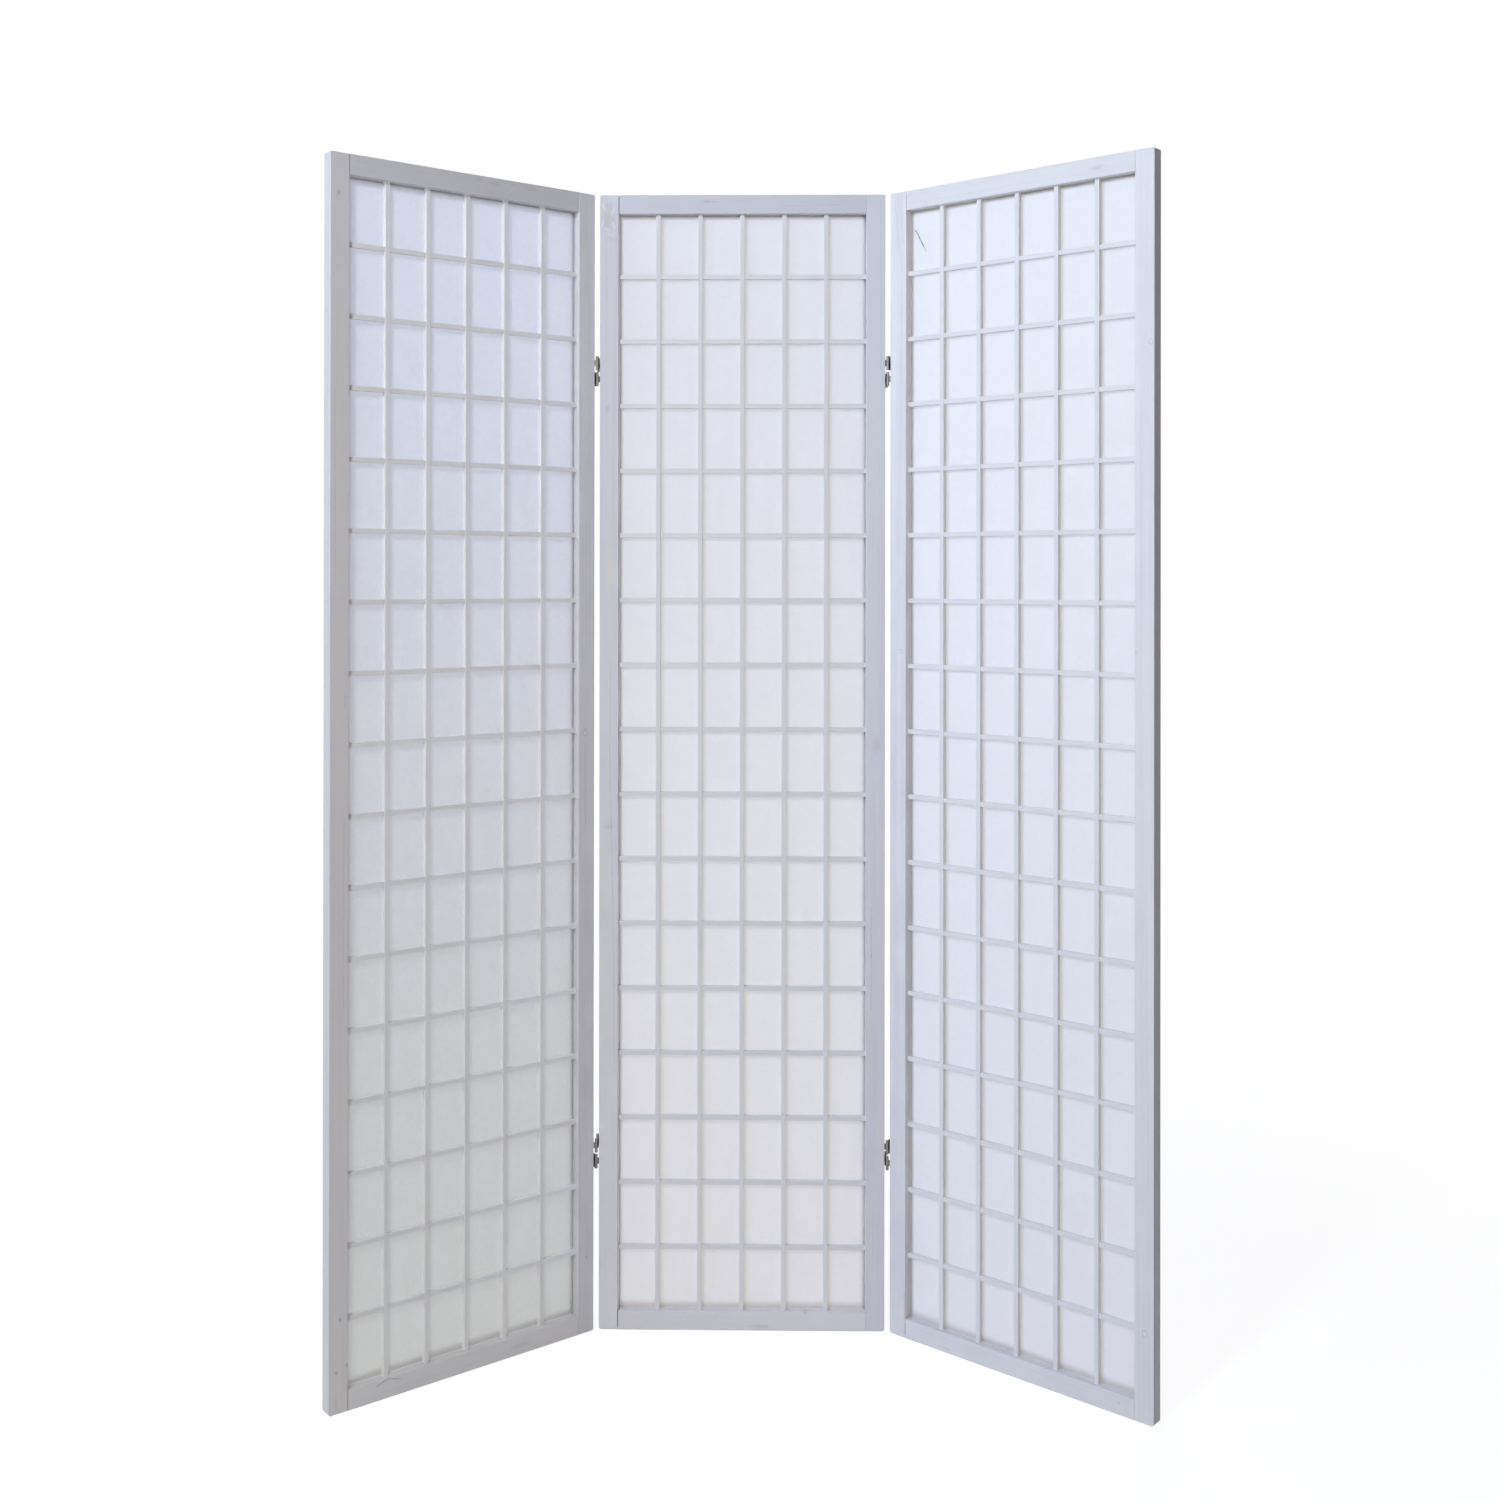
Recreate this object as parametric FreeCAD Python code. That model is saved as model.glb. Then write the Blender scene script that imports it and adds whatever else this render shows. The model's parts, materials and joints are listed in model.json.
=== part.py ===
# A free-standing folding screen of three equal panels. Each panel is a softwood frame round a lattice of
# thin bars, with one sheet of paper glued to the back of the bars and battens that hold the paper's rim.
# Two double-action hinges join each side panel to the middle one, so that it folds to the front and back.
#
# Millimetres. +Z is up, +X is to the viewer's right and the front of the screen looks along -Y. The origin
# is the middle of the centre panel's underside, at half its thickness.
import FreeCAD
import Part
import math
import os

V = FreeCAD.Vector

# --- driving dimensions: the panels -------------------------------------------------------------------
PANEL_WIDTH = 440.0
PANEL_HEIGHT = 1750.0
PANEL_THICKNESS = 20.0
STILE_WIDTH = 29.0
RAIL_HEIGHT = 29.0
ARRIS = 0.8                   # worn-down long edges of stiles and rails
TOP_CORNER_RADIUS = 3.0       # outer top corners, seen from the front
FOOT_CORNER_RADIUS = 5.0      # outer foot corners, seen from the front
END_ROUND = 1.6               # front and back edges of the stiles' ends

# --- joints of the frame ------------------------------------------------------------------------------
TENON_LENGTH = 15.0
TENON_THICKNESS = 8.0
TENON_HEIGHT = 19.0
TENON_CLEARANCE = 0.1         # all round, and at the tenon's end
SHOULDER_GAP_LEFT = 0.9       # open joint line between the left stile and the rails
SHOULDER_GAP_RIGHT = 0.15

# --- lattice ------------------------------------------------------------------------------------------
COLUMNS = 6
ROWS = 17
BAR_WIDTH = 7.0
UPRIGHT_RECESS = 5.4          # from the frame's front face to the uprights
CROSS_BAR_RECESS = 6.2        # from the frame's front face to the cross bars
BAR_BACK = 12.6               # from the frame's front face to the back of all the bars
BAR_ARRIS = 0.5
STUB_LENGTH = 5.0             # of the bars' ends inside the frame
STUB_WIDTH = 3.2
STUB_SHOULDER = 1.4           # bar depth left standing before and behind each stub
POCKET_CLEARANCE = 0.1
LAP_DEPTH = 9.5               # from the frame's front face to the plane where two bars are halved together
LAP_CLEARANCE = 0.1

# --- paper and the battens behind it ------------------------------------------------------------------
PAPER_THICKNESS = 0.3
PAPER_GAP_LEFT = 1.2
PAPER_GAP_RIGHT = 0.4
PAPER_GAP_TOP = 0.4
PAPER_GAP_BOTTOM = 1.2
BATTEN_WIDTH = 2.0
BATTEN_THICKNESS = 4.5
BATTEN_CLEARANCE = 0.15

# --- hinges -------------------------------------------------------------------------------------------
PANEL_GAP = 8.0               # between two panels laid out flat
HINGE_FROM_END = 272.0        # from the panel's top or foot to the hinge's middle
HINGE_HEIGHT = 46.0
HINGE_SLIT = 3.0              # between the hinge's upper and lower half
SHEET = 1.0                   # steel sheet of leaves and links
LEAF_MARGIN = 1.5             # from a leaf's long edges to the panel's faces
RECESS_CLEARANCE = 0.2        # round each leaf, in its recess in the wood
PIN_RADIUS = 1.2
PIN_CLEARANCE = 0.05          # running fit of the knuckles
AXIS_PROUD = 0.75             # from the panel's face out to the pins' axis
KNUCKLE_GAP = 0.2
LINK_KNUCKLE = 5.9            # height of each of a link's two knuckles at one pin
KNUCKLE_RELIEF = 0.35         # between a link's plate and the leaf's knuckle beside it
STRAP_START = 3.5             # from the pins' axis back to where a knuckle's strap leaves its leaf
SCREWS_PER_LEAF = 3
SCREW_PITCH = 15.5
SCREW_STAGGER = 3.0           # from the leaf's middle line
SCREW_RADIUS = 1.25
SCREW_HEAD_RADIUS = 2.4
SCREW_LENGTH = 12.0
SCREW_CLEARANCE = 0.05
CROSS_SLOT_LENGTH = 2.6
CROSS_SLOT_WIDTH = 0.5
CROSS_SLOT_DEPTH = 0.6

# --- how the screen stands in the photograph ----------------------------------------------------------
LEFT_FOLD = 39.0              # degrees that the left panel is folded to the front
RIGHT_FOLD = 40.3             # degrees that the right panel is folded to the front

# --- derived sizes ------------------------------------------------------------------------------------
HALF_WIDTH = PANEL_WIDTH / 2
FRONT = -PANEL_THICKNESS / 2
BACK = PANEL_THICKNESS / 2
OPENING_HALF = HALF_WIDTH - STILE_WIDTH
OPENING_BOTTOM = RAIL_HEIGHT
OPENING_TOP = PANEL_HEIGHT - RAIL_HEIGHT
BARS_BACK = FRONT + BAR_BACK
HINGE_HALF_HEIGHT = (HINGE_HEIGHT - HINGE_SLIT) / 2
LEAF_WIDTH = PANEL_THICKNESS - 2 * LEAF_MARGIN
KNUCKLE_RADIUS = PIN_RADIUS + PIN_CLEARANCE + SHEET
AXIS_Y = PANEL_THICKNESS / 2 + AXIS_PROUD
AXIS_X = HALF_WIDTH + PANEL_GAP / 2
LEAF_FACE = PANEL_GAP / 2     # from the pins' axis across to the leaf's flush face
HINGE_LEVELS = {"top": PANEL_HEIGHT - HINGE_FROM_END, "bottom": HINGE_FROM_END}
UPPER, LOWER = 1, -1          # the hinge's halves


def box(x, y, z):
    """A box between two limits on each axis, given in either order."""
    low = V(min(x), min(y), min(z))
    return Part.makeBox(abs(x[1] - x[0]), abs(y[1] - y[0]), abs(z[1] - z[0]), low)


def rounded(solid, radius, axis, wanted=lambda middle: True):
    """The solid with its straight edges along one axis rounded where their middle point is wanted."""
    edges = []
    for edge in solid.Edges:
        along = edge.Vertexes[-1].Point - edge.Vertexes[0].Point
        straight = along.Length > 0 and abs(along.normalize().dot(axis)) > 0.999
        if straight and wanted(edge.CenterOfMass):
            edges.append(edge)
    return solid.makeFillet(radius, edges)


def column_centres():
    """The uprights' middles across the panel, for columns of equal clear width."""
    clear = (2 * OPENING_HALF - (COLUMNS - 1) * BAR_WIDTH) / COLUMNS
    return [-OPENING_HALF + i * (clear + BAR_WIDTH) - BAR_WIDTH / 2 for i in range(1, COLUMNS)]


def row_centres():
    """The cross bars' middles above the floor, for rows of equal clear height."""
    clear = (OPENING_TOP - OPENING_BOTTOM - (ROWS - 1) * BAR_WIDTH) / ROWS
    return [OPENING_BOTTOM + i * (clear + BAR_WIDTH) - BAR_WIDTH / 2 for i in range(1, ROWS)]


def stub_depths(recess, clearance):
    """Front and back limit in Y of a bar's stub, or of its pocket with the clearance added."""
    front = FRONT + recess + STUB_SHOULDER - clearance
    return front, BARS_BACK - STUB_SHOULDER + clearance


def stub_widths(middle, clearance):
    """Limits of a stub, or of its pocket, across the bar."""
    half = STUB_WIDTH / 2 + clearance
    return middle - half, middle + half


# --- frame --------------------------------------------------------------------------------------------
def tenon_limits(rail_middle, clearance):
    """Y and Z limits of a rail's tenon, or of its mortise with the clearance added."""
    half_thickness = TENON_THICKNESS / 2 + clearance
    half_height = TENON_HEIGHT / 2 + clearance
    return (-half_thickness, half_thickness), (rail_middle - half_height, rail_middle + half_height)


def screw_places():
    """Y and Z of each screw in a leaf, from the hinge's middle, set in a zigzag."""
    first = -(SCREWS_PER_LEAF - 1) / 2
    places = []
    for i in range(SCREWS_PER_LEAF):
        side = 1 if i % 2 else -1
        places.append((side * SCREW_STAGGER, (first + i) * SCREW_PITCH))
    return places


def leaf_recess(side, level):
    """The wood cut away for one flush leaf and its screws, in the edge on that side of a panel."""
    edge = side * HALF_WIDTH
    half_width = LEAF_WIDTH / 2 + RECESS_CLEARANCE
    half_height = HINGE_HEIGHT / 2 + RECESS_CLEARANCE
    cut = box((edge, edge - side * SHEET), (-half_width, half_width), (level - half_height, level + half_height))
    radius = SCREW_RADIUS + SCREW_CLEARANCE
    for y, z in screw_places():
        mouth = V(edge, side * y, level + z)
        cut = cut.fuse(Part.makeCylinder(radius, SCREW_LENGTH + SCREW_CLEARANCE, mouth, V(-side, 0, 0)))
    return cut


def stile(side, hinged):
    """A stile of the full height, with mortises, pockets for the cross bars and the leaves' recesses."""
    outer = side * HALF_WIDTH
    inner = side * OPENING_HALF
    blank = box((inner, outer), (FRONT, BACK), (0, PANEL_HEIGHT))
    body = rounded(blank, ARRIS, V(0, 0, 1))
    foot = rounded(blank, FOOT_CORNER_RADIUS, V(0, 1, 0), lambda m: abs(m.x - outer) < 1 and m.z < 1)
    head = rounded(blank, TOP_CORNER_RADIUS, V(0, 1, 0), lambda m: abs(m.x - outer) < 1 and m.z > 1)
    ends = rounded(blank, END_ROUND, V(1, 0, 0))
    body = body.common(foot).common(head).common(ends)
    for middle in (RAIL_HEIGHT / 2, PANEL_HEIGHT - RAIL_HEIGHT / 2):
        y, z = tenon_limits(middle, TENON_CLEARANCE)
        body = body.cut(box((inner, inner + side * (TENON_LENGTH + TENON_CLEARANCE)), y, z))
    depth = stub_depths(CROSS_BAR_RECESS, POCKET_CLEARANCE)
    for middle in row_centres():
        reach = inner + side * (STUB_LENGTH + POCKET_CLEARANCE)
        body = body.cut(box((inner, reach), depth, stub_widths(middle, POCKET_CLEARANCE)))
    if hinged:
        for level in HINGE_LEVELS.values():
            body = body.cut(leaf_recess(side, level))
    return body


def rail(top):
    """A rail between the stiles, with a tenon at each end and pockets for the uprights."""
    low, high = (OPENING_TOP, PANEL_HEIGHT) if top else (0, RAIL_HEIGHT)
    inner = OPENING_TOP if top else RAIL_HEIGHT
    left = -OPENING_HALF + SHOULDER_GAP_LEFT
    right = OPENING_HALF - SHOULDER_GAP_RIGHT
    body = rounded(box((left, right), (FRONT, BACK), (low, high)), ARRIS, V(1, 0, 0))
    y, z = tenon_limits((low + high) / 2, 0)
    body = body.fuse(box((-OPENING_HALF - TENON_LENGTH, OPENING_HALF + TENON_LENGTH), y, z))
    depth = stub_depths(UPRIGHT_RECESS, POCKET_CLEARANCE)
    away = 1 if top else -1
    for middle in column_centres():
        reach = inner + away * (STUB_LENGTH + POCKET_CLEARANCE)
        body = body.cut(box(stub_widths(middle, POCKET_CLEARANCE), depth, (inner, reach)))
    return body


# --- lattice ------------------------------------------------------------------------------------------
def upright(middle):
    """One upright in one length from rail to rail, halved from behind at every cross bar."""
    half = BAR_WIDTH / 2
    front = FRONT + UPRIGHT_RECESS
    body = box((middle - half, middle + half), (front, BARS_BACK), (OPENING_BOTTOM, OPENING_TOP))
    body = rounded(body, BAR_ARRIS, V(0, 0, 1), lambda m: m.y < front + 0.1)
    stub = (OPENING_BOTTOM - STUB_LENGTH, OPENING_TOP + STUB_LENGTH)
    body = body.fuse(box(stub_widths(middle, 0), stub_depths(UPRIGHT_RECESS, 0), stub))
    lap = FRONT + LAP_DEPTH
    for row in row_centres():
        reach = half + LAP_CLEARANCE
        notch = box((middle - BAR_WIDTH, middle + BAR_WIDTH), (lap, BACK), (row - reach, row + reach))
        body = body.cut(notch)
    return body


def cross_bar(middle):
    """One cross bar from stile to stile, halved from the front at every upright."""
    half = BAR_WIDTH / 2
    front = FRONT + CROSS_BAR_RECESS
    body = box((-OPENING_HALF, OPENING_HALF), (front, BARS_BACK), (middle - half, middle + half))
    body = rounded(body, BAR_ARRIS, V(1, 0, 0), lambda m: m.y < front + 0.1)
    stub = (-OPENING_HALF - STUB_LENGTH, OPENING_HALF + STUB_LENGTH)
    body = body.fuse(box(stub, stub_depths(CROSS_BAR_RECESS, 0), stub_widths(middle, 0)))
    lap = FRONT + LAP_DEPTH
    for column in column_centres():
        reach = half + LAP_CLEARANCE
        notch = box((column - reach, column + reach), (FRONT, lap), (middle - BAR_WIDTH, middle + BAR_WIDTH))
        body = body.cut(notch)
    return body


# --- paper and battens --------------------------------------------------------------------------------
def paper():
    """The sheet glued to the back of the bars, a little short of the frame on every side."""
    x = (-OPENING_HALF + PAPER_GAP_LEFT, OPENING_HALF - PAPER_GAP_RIGHT)
    z = (OPENING_BOTTOM + PAPER_GAP_BOTTOM, OPENING_TOP - PAPER_GAP_TOP)
    return box(x, (BARS_BACK, BARS_BACK + PAPER_THICKNESS), z)


def battens():
    """Two long and two short battens behind the paper's rim, against the frame's inner sides."""
    front = BARS_BACK + PAPER_THICKNESS
    y = (front, front + BATTEN_THICKNESS)
    side = OPENING_HALF - BATTEN_CLEARANCE
    low = OPENING_BOTTOM + BATTEN_CLEARANCE
    high = OPENING_TOP - BATTEN_CLEARANCE
    between = side - BATTEN_WIDTH - BATTEN_CLEARANCE
    return [
        box((-side, -side + BATTEN_WIDTH), y, (low, high)),
        box((side - BATTEN_WIDTH, side), y, (low, high)),
        box((-between, between), y, (low, low + BATTEN_WIDTH)),
        box((-between, between), y, (high - BATTEN_WIDTH, high)),
    ]


# --- hinges, each round its own middle between two panels laid out flat ----------------------------------
def half_base(half):
    """The lowest Z of the hinge's upper or lower half."""
    return HINGE_SLIT / 2 if half == UPPER else -HINGE_SLIT / 2 - HINGE_HALF_HEIGHT


def leaf_knuckle_limits(half):
    """Z limits of the leaf's knuckle, between the link's two knuckles."""
    base = half_base(half) + LINK_KNUCKLE + KNUCKLE_GAP
    return base, base + HINGE_HALF_HEIGHT - 2 * (LINK_KNUCKLE + KNUCKLE_GAP)


def link_knuckle_limits(half):
    """Z limits of each of a link's two knuckles at one pin."""
    base = half_base(half)
    top = base + HINGE_HALF_HEIGHT
    return [(base, base + LINK_KNUCKLE), (top - LINK_KNUCKLE, top)]


def barrel(face, limits):
    """An upright cylinder of the knuckles' size on the pins' axis at the front (-1) or back (+1)."""
    return Part.makeCylinder(KNUCKLE_RADIUS, limits[1] - limits[0], V(0, face * AXIS_Y, limits[0]))


def bore(face):
    """The room for a pin through the whole height of the hinge."""
    return Part.makeCylinder(PIN_RADIUS + PIN_CLEARANCE, 2 * HINGE_HEIGHT, V(0, face * AXIS_Y, -HINGE_HEIGHT))


def strap(face, limits):
    """The bent sheet that carries a leaf's knuckle, from inside the leaf out to the pins' axis."""
    start = V(-LEAF_FACE - SHEET / 2, face * (AXIS_Y - STRAP_START), limits[0])
    end = V(0, face * AXIS_Y, limits[0])
    along = (end - start).normalize()
    across = V(-along.y, along.x, 0) * (SHEET / 2)
    corners = [start + across, end + across, end - across, start - across, start + across]
    return Part.Face(Part.makePolygon(corners)).extrude(V(0, 0, limits[1] - limits[0]))


def left_leaf():
    """The flush leaf in the left panel's edge: its knuckles are at the front above and the back below."""
    x = (-LEAF_FACE - SHEET, -LEAF_FACE)
    half_width, half_height = LEAF_WIDTH / 2, HINGE_HEIGHT / 2
    body = box(x, (-half_width, half_width), (-half_height, half_height))
    for face, half in ((-1, UPPER), (1, LOWER)):
        limits = leaf_knuckle_limits(half)
        body = body.fuse(strap(face, limits)).fuse(barrel(face, limits)).cut(bore(face))
    for y, z in screw_places():
        wide, narrow = SCREW_HEAD_RADIUS + SCREW_CLEARANCE, SCREW_RADIUS + SCREW_CLEARANCE
        body = body.cut(Part.makeCone(wide, narrow, SHEET, V(-LEAF_FACE, y, z), V(-1, 0, 0)))
    return body.removeSplitter()


def link(half):
    """The plate in the gap that joins a front pin to a back pin, in one half of the hinge's height."""
    base = half_base(half)
    body = box((-SHEET / 2, SHEET / 2), (-AXIS_Y, AXIS_Y), (base, base + HINGE_HALF_HEIGHT))
    low, high = leaf_knuckle_limits(half)
    reach = KNUCKLE_RADIUS + KNUCKLE_RELIEF
    for face in (-1, 1):
        near, far = face * (AXIS_Y - reach), face * (AXIS_Y + reach)
        body = body.cut(box((-reach, reach), (near, far), (low - KNUCKLE_GAP, high + KNUCKLE_GAP)))
        for limits in link_knuckle_limits(half):
            body = body.fuse(barrel(face, limits))
        body = body.cut(bore(face))
    return body.removeSplitter()


def pin(face, half):
    """A pin through all the knuckles on one axis in one half."""
    return Part.makeCylinder(PIN_RADIUS, HINGE_HALF_HEIGHT, V(0, face * AXIS_Y, half_base(half)))


def stub_pins(face, half):
    """Two short pins that fill only the link's knuckles and leave the leaf's knuckle free."""
    pins = []
    for low, high in link_knuckle_limits(half):
        pins.append(Part.makeCylinder(PIN_RADIUS, high - low, V(0, face * AXIS_Y, low)))
    return pins


def left_leaf_screws():
    """Countersunk screws with a cross slot, through the left leaf into the wood."""
    screws = []
    for y, z in screw_places():
        start = V(-LEAF_FACE, y, z)
        head = Part.makeCone(SCREW_HEAD_RADIUS, SCREW_RADIUS, SHEET, start, V(-1, 0, 0))
        body = head.fuse(Part.makeCylinder(SCREW_RADIUS, SCREW_LENGTH, start, V(-1, 0, 0)))
        x = (-LEAF_FACE - CROSS_SLOT_DEPTH, -LEAF_FACE + CROSS_SLOT_DEPTH)
        long, short = CROSS_SLOT_LENGTH / 2, CROSS_SLOT_WIDTH / 2
        body = body.cut(box(x, (y - long, y + long), (z - short, z + short)))
        body = body.cut(box(x, (y - short, y + short), (z - long, z + long)))
        screws.append(body)
    return screws


# --- putting the pieces in their places ----------------------------------------------------------------
def moved(solid, shift):
    """A copy of the solid, shifted."""
    copy = solid.copy()
    copy.translate(shift)
    return copy


def turned(solid, centre, degrees):
    """A copy of the solid, turned about the vertical line through a point."""
    copy = solid.copy()
    copy.rotate(centre, V(0, 0, 1), degrees)
    return copy


def on_right_edge(solid):
    """What is made for the left panel's edge, turned to sit in the right panel's edge."""
    return turned(solid, V(0, 0, 0), 180)


def front_axis(side):
    """A point on the front pins' axis at the left (-1) or right (+1) joint."""
    return V(side * AXIS_X, -AXIS_Y, 0)


def folded(solid, side):
    """A piece that moves with a side panel, turned from the flat screen to the photographed fold."""
    degrees = LEFT_FOLD if side < 0 else -RIGHT_FOLD
    return turned(solid, front_axis(side), degrees)


def panel(name, hinged_sides):
    """Every node of one panel, in the centre panel's place."""
    nodes = {
        f"{name}_stile_left": [stile(-1, -1 in hinged_sides)],
        f"{name}_stile_right": [stile(1, 1 in hinged_sides)],
        f"{name}_rail_top": [rail(True)],
        f"{name}_rail_bottom": [rail(False)],
    }
    for number, middle in enumerate(column_centres(), start=1):
        nodes[f"{name}_upright_{number}"] = [upright(middle)]
    nodes[f"{name}_cross_bars"] = [cross_bar(middle) for middle in row_centres()]
    nodes[f"{name}_paper"] = [paper()]
    nodes[f"{name}_battens"] = battens()
    return nodes


def joint_nodes(name, side):
    """The hinges between the centre panel and the panel on that side, still flat.

    The centre panel holds the right leaf of the left joint and the left leaf of the right joint. The link
    that turns on the centre leaf's back pin carries the side panel, and the other follows it.
    """
    wing_is_left = side < 0
    carrier, follower = (UPPER, LOWER) if wing_is_left else (LOWER, UPPER)
    fixed, wing, links = {}, {}, {}
    for level_name, level in HINGE_LEVELS.items():
        place = V(side * AXIS_X, 0, level)
        left = left_leaf()
        right = on_right_edge(left)
        left_screws = left_leaf_screws()
        right_screws = [on_right_edge(screw) for screw in left_screws]
        wing_leaf, centre_leaf = (left, right) if wing_is_left else (right, left)
        wing_screws, centre_screws = (left_screws, right_screws) if wing_is_left else (right_screws, left_screws)
        fixed[f"{name}_{level_name}_hinge_centre_leaf"] = [moved(centre_leaf, place)]
        wing[f"{name}_{level_name}_hinge_wing_leaf"] = [moved(wing_leaf, place)]
        links[f"{name}_{level_name}_hinge_carrier_link"] = [moved(link(carrier), place)]
        wing[f"{name}_{level_name}_hinge_follower_link"] = [moved(link(follower), place)]
        centre_pins = [pin(-1, follower), pin(1, carrier)]
        fixed.setdefault("centre_hinge_pins", []).extend(moved(p, place) for p in centre_pins)
        fixed.setdefault("centre_hinge_screws", []).extend(moved(s, place) for s in centre_screws)
        wing.setdefault(f"{name}_hinge_pins", []).append(moved(pin(-1, carrier), place))
        wing.setdefault(f"{name}_hinge_stub_pins", []).extend(moved(p, place) for p in stub_pins(1, follower))
        wing.setdefault(f"{name}_hinge_screws", []).extend(moved(s, place) for s in wing_screws)
    return fixed, wing, links


def screen():
    """Every node of the screen, folded as it is photographed."""
    nodes = panel("centre", (-1, 1))
    for name, side in (("left", -1), ("right", 1)):
        flat_shift = V(side * (PANEL_WIDTH + PANEL_GAP), 0, 0)
        for node, solids in panel(name, (-side,)).items():
            nodes[node] = [folded(moved(solid, flat_shift), side) for solid in solids]
        fixed, wing, links = joint_nodes(name, side)
        for node, solids in fixed.items():
            nodes.setdefault(node, []).extend(solids)
        for node, solids in wing.items():
            nodes[node] = [folded(solid, side) for solid in solids]
        nodes.update(links)
    return nodes


os.makedirs("parts", exist_ok=True)
for node, solids in screen().items():
    shape = solids[0] if len(solids) == 1 else Part.makeCompound(solids)
    shape.exportStep(os.path.join("parts", node + ".step"))

for name, side in (("left", -1), ("right", 1)):
    print(name, "front pins' axis", front_axis(side), "back pins' axis", V(side * AXIS_X, AXIS_Y, 0))
reach = math.hypot(PANEL_WIDTH + PANEL_GAP / 2, AXIS_PROUD)
print("side panel's outer front corner from the front axis", round(reach, 2))
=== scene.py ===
# %% [markdown]
# # A folding screen of painted wood and paper
# Three panels stand in a shallow zigzag. Each is a softwood frame with a lattice of thin bars, painted a
# cool white, and behind the bars is one sheet of fibrous paper that glows where light comes through it.
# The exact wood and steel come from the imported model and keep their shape. This lesson gives them their
# finishes, makes the three sheets of paper, lights the screen and sets up the camera.

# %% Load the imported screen
import json
import math

import bpy
import numpy as np
from mathutils import Matrix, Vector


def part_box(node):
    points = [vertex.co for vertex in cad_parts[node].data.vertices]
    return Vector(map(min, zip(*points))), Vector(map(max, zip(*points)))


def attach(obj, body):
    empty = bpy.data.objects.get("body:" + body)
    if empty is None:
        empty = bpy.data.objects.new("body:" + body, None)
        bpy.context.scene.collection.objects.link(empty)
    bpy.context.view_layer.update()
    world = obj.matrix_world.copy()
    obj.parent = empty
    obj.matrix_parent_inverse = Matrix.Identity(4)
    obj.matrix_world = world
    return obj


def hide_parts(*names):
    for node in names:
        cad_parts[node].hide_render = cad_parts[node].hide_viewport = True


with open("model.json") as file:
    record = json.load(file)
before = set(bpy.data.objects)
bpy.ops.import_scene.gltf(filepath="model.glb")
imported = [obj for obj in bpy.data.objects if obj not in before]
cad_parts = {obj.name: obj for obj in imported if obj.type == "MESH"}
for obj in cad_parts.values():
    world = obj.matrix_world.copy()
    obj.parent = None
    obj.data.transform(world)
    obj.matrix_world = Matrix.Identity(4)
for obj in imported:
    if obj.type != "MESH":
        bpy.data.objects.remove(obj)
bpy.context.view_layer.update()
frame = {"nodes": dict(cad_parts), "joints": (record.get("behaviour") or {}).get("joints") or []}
nodes = frame["nodes"]
scene = bpy.context.scene

# %% [markdown]
# ## Where each panel stands
# The side panels are turned about the pins of their hinges, so a pattern or a sheet that belongs to a
# panel is easiest to work out on a panel that is laid out flat, and then turned into place. The joints
# say where the pins are and how far each panel is from flat, so nothing has to be measured again.

# %% Middle point and turn of each panel
joints = {joint["name"]: joint for joint in frame["joints"]}
stile_low, stile_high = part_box("centre_stile_left")
PANEL_WIDTH = -2 * stile_low.x
PANEL_HEIGHT = stile_high.z
PANEL_GAP = 2 * abs(joints["left_front_fold"]["pos_m"][0]) - PANEL_WIDTH


def standing(side):
    """Middle point and turn, in radians, of a side panel: a turn about the front pins from flat to rest."""
    joint = joints[side + "_front_fold"]
    pin = np.array(joint["pos_m"][:2])
    turn = -math.radians(joint["range_deg"][0]) * joint["axis"][2]
    flat = np.array([math.copysign(PANEL_WIDTH + PANEL_GAP, pin[0]), 0.0]) - pin
    cos, sin = math.cos(turn), math.sin(turn)
    return pin + np.array([cos * flat[0] - sin * flat[1], sin * flat[0] + cos * flat[1]]), turn


PANELS = {"centre": (np.zeros(2), 0.0), "left": standing("left"), "right": standing("right")}
for name, (middle, turn) in PANELS.items():
    print(name, "panel: middle", middle.round(4), "turned", round(math.degrees(turn), 1))


def in_place(points, panel):
    """Points of a flat panel, as rows of x, y, z, turned and shifted to where that panel stands."""
    middle, turn = PANELS[panel]
    cos, sin = math.cos(turn), math.sin(turn)
    x, y, z = points.T
    return np.column_stack([middle[0] + cos * x - sin * y, middle[1] + sin * x + cos * y, z])


# %% [markdown]
# ## Camera
# The screen is photographed from the front at eye level with a short telephoto lens. The camera looks
# level, so that upright lines stay upright, and a vertical shift frames the whole height, which is what
# a photographer does by raising the back of a view camera.

# %% Camera at the photographed angle
CAMERA_PLACE = np.array([0.0005, -2.6183, 1.1612])
CAMERA_YAW, CAMERA_PITCH, CAMERA_ROLL = -0.01546, 0.00222, 0.00118
FOCAL_SHARE = 1.12787          # focal length as a share of the picture's width
AXIS_SHIFT = (-0.02246, -0.11810)  # how far the lens's axis is right of and below the picture's middle


def camera_axes(yaw, pitch, roll):
    """Right, up and backward unit vectors of a camera that looks along +Y before it is turned."""
    ahead = np.array([math.sin(yaw) * math.cos(pitch), math.cos(yaw) * math.cos(pitch), math.sin(pitch)])
    level = np.array([math.cos(yaw), -math.sin(yaw), 0.0])
    above = np.cross(level, ahead)
    right = math.cos(roll) * level + math.sin(roll) * above
    return np.column_stack([right, np.cross(right, ahead), -ahead])


def posed(axes, place):
    """The 4x4 matrix of an object with these three axes, as columns, at this place."""
    matrix = np.eye(4)
    matrix[:3, :3], matrix[:3, 3] = axes, place
    return Matrix(matrix)


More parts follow.
